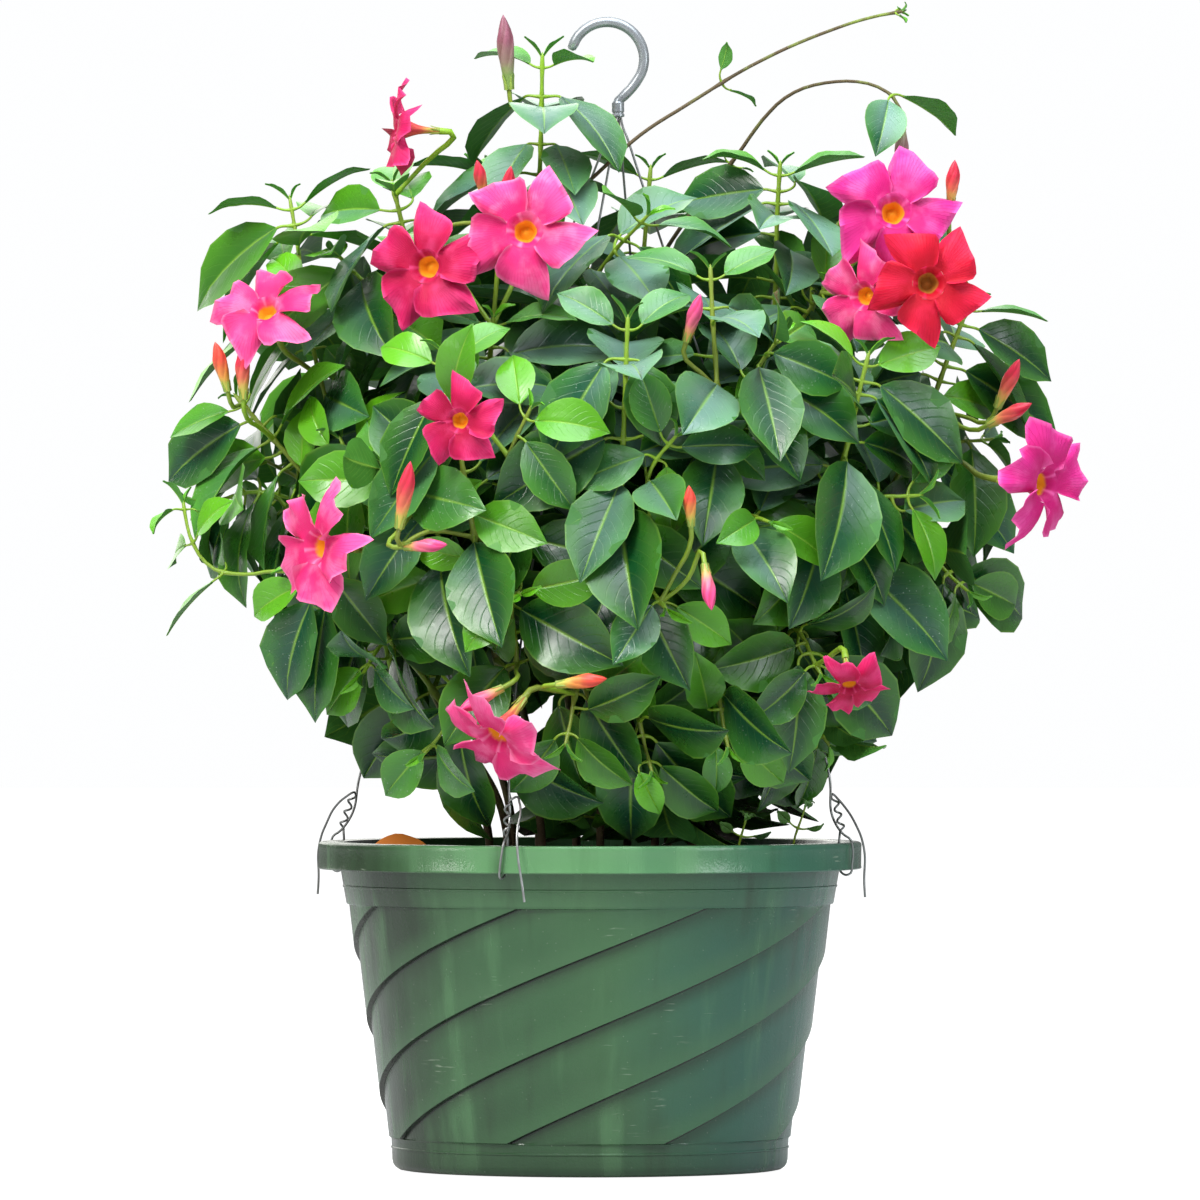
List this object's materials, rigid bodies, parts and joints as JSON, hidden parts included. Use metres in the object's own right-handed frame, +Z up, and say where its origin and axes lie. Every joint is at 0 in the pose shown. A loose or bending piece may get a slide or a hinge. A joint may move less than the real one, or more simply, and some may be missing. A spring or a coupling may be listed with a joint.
{
  "type": "potted flowering climbing plant",
  "caption": "Bushy mandevilla with glossy leaves, trumpet blooms and furled buds, in a swirl-ribbed green hanging pot on twisted wires with an open hook.",
  "frame": {"origin": "middle of the pot's flat underside", "axes": "+Z up towards the hook, -Y towards the viewer, +X to the right; the hook bends in the XZ plane"},
  "size_m": [0.5423, 0.4227, 0.6858],
  "materials": {
    "pot": "satin moulded plastic, dusty and lightly scuffed",
    "soil": "damp crumbly mix of bark and peat",
    "hook": "satin grey, moulded on the wires",
    "wire": "galvanised, dulled",
    "foliage": "glossy, leathery and deep green with pale midribs",
    "petal_pink": "soft velvety pink with a yellow throat",
    "petal_pale": "soft velvety light pink with a yellow throat",
    "petal_red": "soft velvety red with a brownish throat",
    "bud": "smooth furled red over a yellow-green base",
    "seedling": "thin matt green",
    "fallen_leaf": "dry and brown"
  },
  "bodies": {
    "root": {"bloom_back": "petal_pink", "bloom_inner": "petal_pink", "bloom_left": "petal_pale", "bloom_low": "petal_pink", "bloom_low_right": "petal_pink", "bloom_lower_left": "petal_pink", "bloom_pale": "petal_pale", "bloom_red": "petal_red", "bloom_right": "petal_pink", "bloom_side": "petal_pink", "bloom_top_centre": "petal_pale", "bloom_top_left": "petal_pink", "bloom_top_right": "petal_pink", "bud_arch": "bud", "bud_dark": "bud", "bud_fat": "bud", "bud_hanging": "bud", "bud_left_red": "bud", "bud_left_thin": "bud", "bud_long": "bud", "bud_low": "bud", "bud_low_thin": "bud", "bud_orange": "bud", "bud_pink": "bud", "bud_right_lower": "bud", "bud_right_upper": "bud", "bud_tall": "bud", "bud_top_red": "bud", "bud_top_small": "bud", "fallen_leaf": "fallen_leaf", "hook": "hook", "pot": "pot", "seedling_front": "seedling", "seedling_right": "seedling", "soil": "soil", "stem_back": "foliage", "stem_back_left": "foliage", "stem_back_right": "foliage", "stem_crown": "foliage", "stem_crown_back": "foliage", "stem_crown_left": "foliage", "stem_crown_right": "foliage", "stem_front": "foliage", "stem_front_left": "foliage", "stem_front_right": "foliage", "stem_left": "foliage", "stem_lower_left": "foliage", "stem_right": "foliage", "stem_right_front": "foliage", "wire_back": "wire", "wire_front": "wire", "wire_left": "wire", "wire_right": "wire"}
  },
  "joints": []
}
